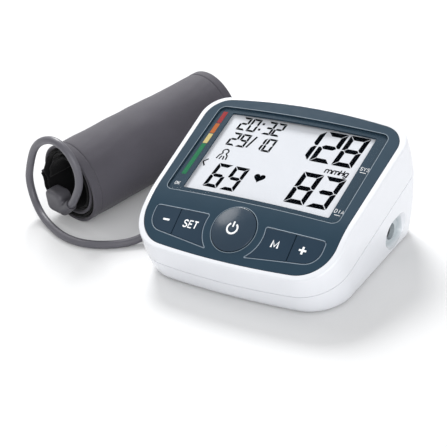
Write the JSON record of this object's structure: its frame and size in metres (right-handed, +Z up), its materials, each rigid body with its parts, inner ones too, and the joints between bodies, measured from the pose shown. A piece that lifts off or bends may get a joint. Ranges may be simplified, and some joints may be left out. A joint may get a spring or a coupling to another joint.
{
  "type": "blood pressure monitor",
  "caption": "Desktop blood pressure monitor: wedge-shaped casing, sloping display, dome button and key row, battery door, air tube and rolled arm cuff.",
  "frame": {"origin": "middle of the casing's flat underside, on the battery door, 1 mm above the surface that the feet stand on", "axes": "+Z up out of the underside, +Y from the keys to the back of the casing, +X to the right of somebody who reads the display"},
  "size_m": [0.2278, 0.1567, 0.0662],
  "materials": {
    "white_shell": "satin moulded plastic, white",
    "blue_panel": "satin painted plastic, blue grey",
    "key_plastic": "satin plastic, dark blue grey",
    "dome_plastic": "glossy plastic, dark blue grey",
    "window": "clear acrylic",
    "lcd": "liquid crystal cell",
    "backlight": "white diffuser",
    "circuit_board": "green circuit board",
    "black_plastic": "black moulded plastic",
    "mat_rubber": "soft silicone",
    "black_rubber": "soft black rubber",
    "steel": "plated steel",
    "cell": "wrapped metal can",
    "tube_vinyl": "soft dark grey vinyl",
    "cuff_fabric": "woven nylon, dark grey",
    "cuff_loop": "brushed loop fabric, black",
    "bladder_rubber": "thin rubber bladder"
  },
  "bodies": {
    "monitor": {"lower_shell": "white_shell", "upper_shell": "white_shell", "front_panel": "blue_panel", "display_window": "window", "lcd_glass": "lcd", "display_frame": "backlight", "contact_strip": "black_rubber", "main_board": "circuit_board", "key_board": "circuit_board", "key_mat": "mat_rubber", "board_screws": "steel", "main_chip": "black_plastic", "buzzer": "black_plastic", "pressure_sensor": "black_plastic", "rubber_feet": "black_rubber", "housing_screws": "steel", "batteries": "cell", "battery_contacts": "steel", "air_pump_head": "black_plastic", "air_pump_motor": "steel", "release_valve": "black_plastic", "inner_hose": "mat_rubber", "cuff_socket": "black_plastic", "power_jack": "black_plastic", "air_plug": "black_plastic", "air_tube": "tube_vinyl", "cuff_cover": "cuff_fabric", "cuff_bladder": "bladder_rubber", "cuff_lining": "cuff_loop", "hook_patch": "cuff_loop", "cuff_port": "black_rubber"},
    "power_button": {"power_button": "dome_plastic"},
    "minus_key": {"minus_key": "key_plastic"},
    "set_key": {"set_key": "key_plastic"},
    "memory_key": {"memory_key": "key_plastic"},
    "plus_key": {"plus_key": "key_plastic"},
    "battery_door": {"battery_door": "white_shell"}
  },
  "joints": [
    {"name": "power_button_press", "type": "slide", "parent": "monitor", "child": "power_button", "axis": [0, 0.5373, -0.8434], "range_m": [0, 0.001], "stiffness_N_per_m": 1800, "springref_m": -0.0002},
    {"name": "minus_key_press", "type": "slide", "parent": "monitor", "child": "minus_key", "axis": [0, 0.5373, -0.8434], "range_m": [0, 0.001], "stiffness_N_per_m": 1500, "springref_m": -0.0002},
    {"name": "set_key_press", "type": "slide", "parent": "monitor", "child": "set_key", "axis": [0, 0.5373, -0.8434], "range_m": [0, 0.001], "stiffness_N_per_m": 1500, "springref_m": -0.0002},
    {"name": "memory_key_press", "type": "slide", "parent": "monitor", "child": "memory_key", "axis": [0, 0.5373, -0.8434], "range_m": [0, 0.001], "stiffness_N_per_m": 1500, "springref_m": -0.0002},
    {"name": "plus_key_press", "type": "slide", "parent": "monitor", "child": "plus_key", "axis": [0, 0.5373, -0.8434], "range_m": [0, 0.001], "stiffness_N_per_m": 1500, "springref_m": -0.0002},
    {"name": "battery_door_hinge", "type": "hinge", "parent": "monitor", "child": "battery_door", "pos_m": [0, -0.02085, 0.00075], "axis": [-1, 0, 0], "range_deg": [0, 75]}
  ]
}
